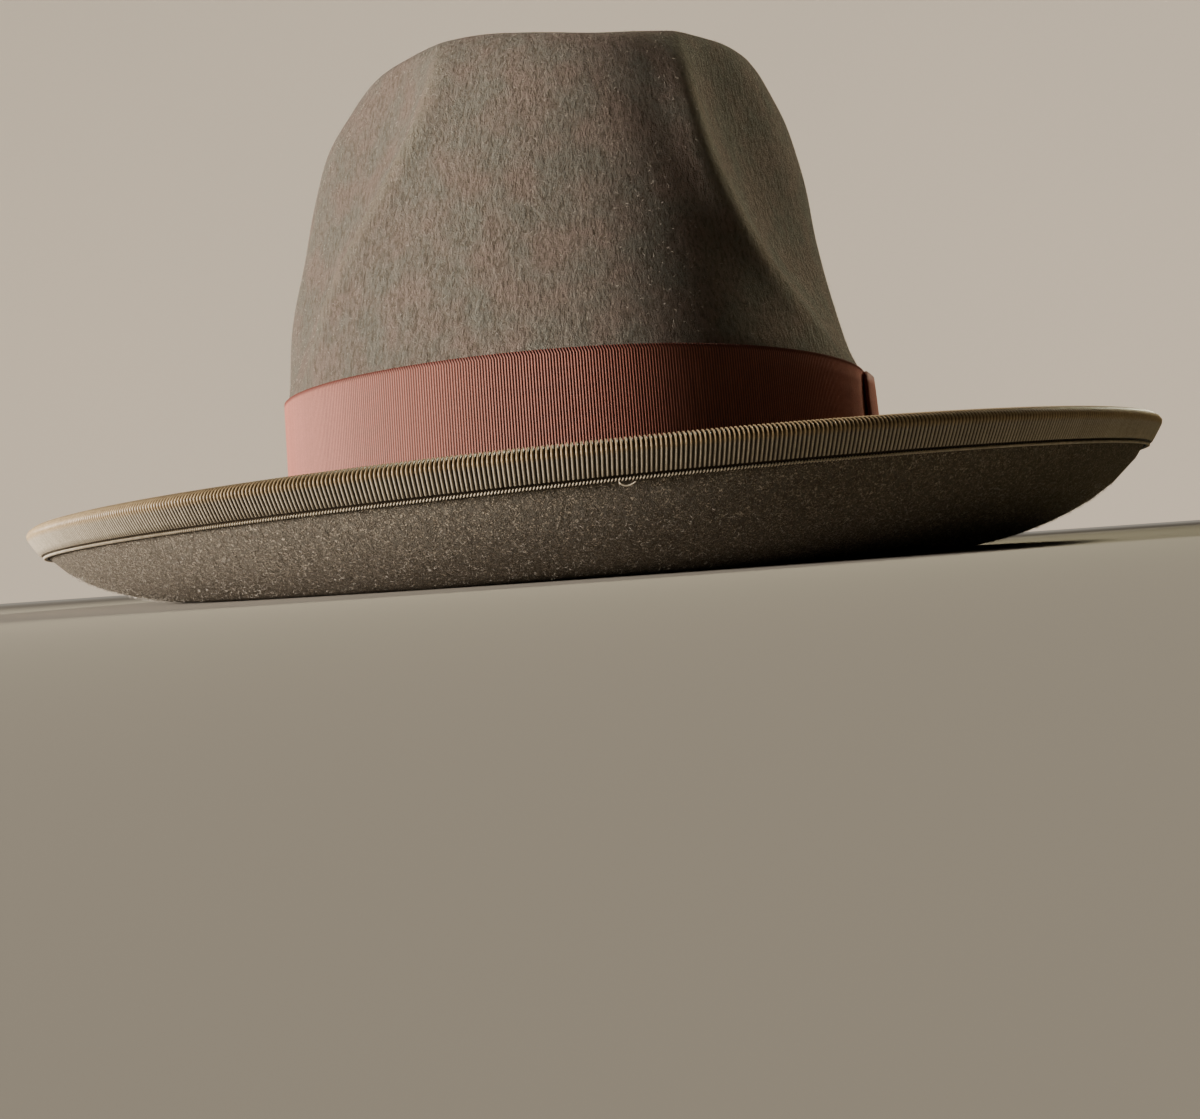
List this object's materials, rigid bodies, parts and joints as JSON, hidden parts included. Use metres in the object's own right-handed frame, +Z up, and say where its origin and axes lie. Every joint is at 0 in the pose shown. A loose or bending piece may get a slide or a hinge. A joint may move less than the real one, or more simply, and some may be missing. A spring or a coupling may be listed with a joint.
{
  "type": "fedora",
  "caption": "Felt fedora with a pinched crown, a rolled-up brim with a grosgrain edge, a grosgrain hatband and a flat side bow.",
  "frame": {"origin": "under the middle of the hat, in the plane of the brim's lowest ring, on which it rests", "axes": "+Z up, -Y towards the front of the hat, +X towards the wearer's left, where the bow is"},
  "size_m": [0.3247, 0.358, 0.1488],
  "materials": {
    "felt": "grey-brown brushed fur felt",
    "binding_ribbon": "grey-tan ribbed grosgrain",
    "band_ribbon": "dusty rose ribbed grosgrain",
    "leather": "plain brown leather"
  },
  "bodies": {
    "root": {"crown_and_brim": "felt", "brim_binding": "binding_ribbon", "hatband": "band_ribbon", "bow": "band_ribbon", "bow_knot": "band_ribbon", "sweatband": "leather"}
  },
  "joints": []
}
